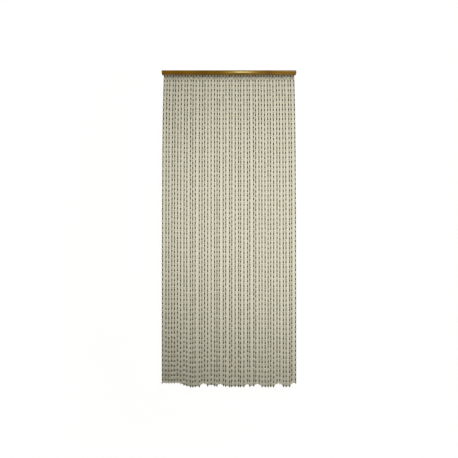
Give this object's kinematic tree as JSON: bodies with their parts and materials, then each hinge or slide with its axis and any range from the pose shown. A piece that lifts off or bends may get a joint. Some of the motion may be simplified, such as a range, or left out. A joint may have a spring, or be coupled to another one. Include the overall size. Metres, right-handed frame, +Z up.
{
  "type": "bead string door curtain on a wooden rail",
  "caption": "Doorway curtain of hanging bead strings, cream ovals between brown tubes, on a varnished wooden rail that screens an opening and lets people walk through.",
  "frame": {"origin": "centre of the rail's flat back face, where it lies against the wall", "axes": "+X to the right along the rail as seen from the room, +Y into the wall, +Z up"},
  "size_m": [0.9034, 0.028, 2.1266],
  "materials": {
    "rail_wood": "satin clear varnish",
    "cream_beads": "glossy moulded",
    "brown_beads": "glossy moulded",
    "cord": "twisted thread"
  },
  "bodies": {
    "root": {"rail": "rail_wood", "bead_strings": "cream_beads"}
  },
  "joints": []
}
